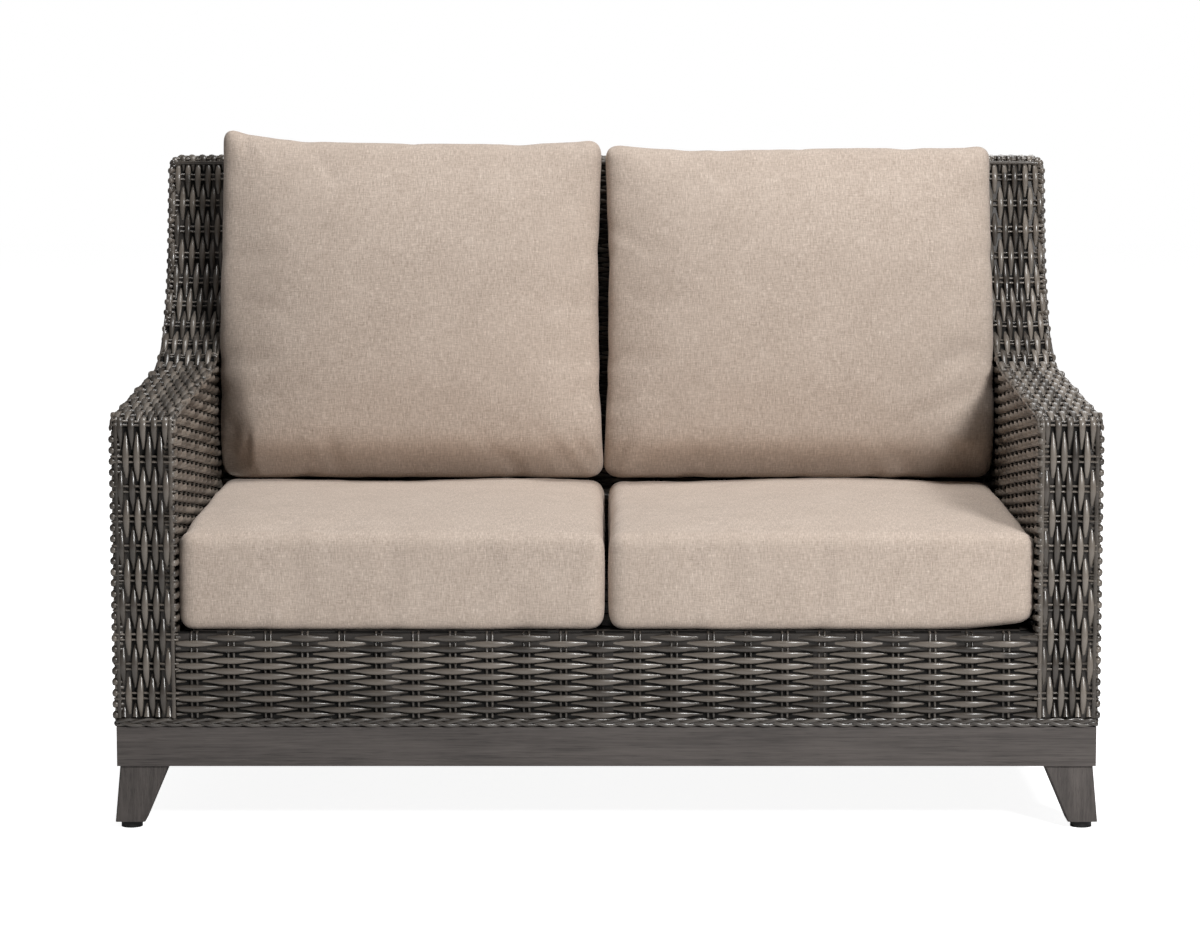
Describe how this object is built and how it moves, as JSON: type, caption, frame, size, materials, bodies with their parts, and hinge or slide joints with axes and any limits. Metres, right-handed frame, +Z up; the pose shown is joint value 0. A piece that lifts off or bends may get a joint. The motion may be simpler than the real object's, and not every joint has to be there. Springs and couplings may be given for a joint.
{
  "type": "patio loveseat",
  "caption": "Patio loveseat with a woven frame, low track arms that sweep up into a raked back, a wood-grained base on splayed tapered legs, and loose boxed cushions.",
  "frame": {"origin": "on the floor under the middle of the whole piece", "axes": "+X along the seat to the right as seen from the front, +Y from front to back, +Z up"},
  "size_m": [1.43, 0.868, 0.9782],
  "materials": {
    "weave": "woven resin strands, satin, grey-brown with lighter and darker strands",
    "braid": "flat three-strand braid of the same resin",
    "base_band": "powder coat with a brushed grey-brown timber grain, matt",
    "leg_finish": "powder coat with a brushed grey-brown timber grain, matt",
    "frame_tube": "dark brown powder coat, satin",
    "steel": "zinc plated, satin",
    "glide_pad": "black nylon, matt",
    "webbing": "flat woven polypropylene webbing",
    "foam": "open-cell seating foam",
    "cushion_fabric": "heathered beige linen-look outdoor cloth with fine slubs"
  },
  "bodies": {
    "frame": {"apron_posts": "frame_tube", "arm_loop_inner_left": "frame_tube", "arm_loop_inner_right": "frame_tube", "arm_loop_outer_left": "frame_tube", "arm_loop_outer_right": "frame_tube", "arm_spacers_left": "frame_tube", "arm_spacers_right": "frame_tube", "back_top_tube": "frame_tube", "back_uprights": "frame_tube", "back_weave": "weave", "base_cross_brace": "frame_tube", "base_rail_back": "base_band", "base_rail_front": "base_band", "base_rail_left": "base_band", "base_rail_right": "base_band", "braid_back": "braid", "braid_front": "braid", "braid_left": "braid", "braid_right": "braid", "front_apron_weave": "weave", "glide_inserts": "steel", "left_arm_weave": "weave", "leg_back_left": "leg_finish", "leg_back_right": "leg_finish", "leg_bolts": "steel", "leg_corner_plates": "frame_tube", "leg_front_left": "leg_finish", "leg_front_right": "leg_finish", "right_arm_weave": "weave", "seat_centre_brace": "frame_tube", "seat_centre_post": "frame_tube", "seat_rail_back": "frame_tube", "seat_rail_front": "frame_tube", "seat_rail_left": "frame_tube", "seat_rail_right": "frame_tube", "seat_straps_cross": "webbing", "seat_straps_long": "webbing", "strap_bar_back": "frame_tube", "strap_bar_front": "frame_tube", "strap_bar_left": "frame_tube", "strap_bar_right": "frame_tube"},
    "back_cushion_left": {"back_core_left": "foam", "back_cushion_left": "cushion_fabric"},
    "back_cushion_right": {"back_core_right": "foam", "back_cushion_right": "cushion_fabric"},
    "glide_back_left": {"glide_pad_back_left": "glide_pad", "glide_stem_back_left": "steel"},
    "glide_back_right": {"glide_pad_back_right": "glide_pad", "glide_stem_back_right": "steel"},
    "glide_front_left": {"glide_pad_front_left": "glide_pad", "glide_stem_front_left": "steel"},
    "glide_front_right": {"glide_pad_front_right": "glide_pad", "glide_stem_front_right": "steel"},
    "seat_cushion_left": {"seat_core_left": "foam", "seat_cushion_left": "cushion_fabric"},
    "seat_cushion_right": {"seat_core_right": "foam", "seat_cushion_right": "cushion_fabric"}
  },
  "joints": [
    {"name": "seat_cushion_left_pull_out", "type": "slide", "parent": "frame", "child": "seat_cushion_left", "axis": [0, -1, 0], "range_m": [0, 0.66]},
    {"name": "back_cushion_left_lift_off", "type": "slide", "parent": "frame", "child": "back_cushion_left", "axis": [0, 0.225, 0.9744], "range_m": [0, 0.54]},
    {"name": "seat_cushion_right_pull_out", "type": "slide", "parent": "frame", "child": "seat_cushion_right", "axis": [0, -1, 0], "range_m": [0, 0.66]},
    {"name": "back_cushion_right_lift_off", "type": "slide", "parent": "frame", "child": "back_cushion_right", "axis": [0, 0.225, 0.9744], "range_m": [0, 0.54]},
    {"name": "glide_front_left_adjust", "type": "slide", "parent": "frame", "child": "glide_front_left", "axis": [0, 0, -1], "range_m": [0, 0.012]},
    {"name": "glide_front_right_adjust", "type": "slide", "parent": "frame", "child": "glide_front_right", "axis": [0, 0, -1], "range_m": [0, 0.012]},
    {"name": "glide_back_left_adjust", "type": "slide", "parent": "frame", "child": "glide_back_left", "axis": [0, 0, -1], "range_m": [0, 0.012]},
    {"name": "glide_back_right_adjust", "type": "slide", "parent": "frame", "child": "glide_back_right", "axis": [0, 0, -1], "range_m": [0, 0.012]}
  ]
}
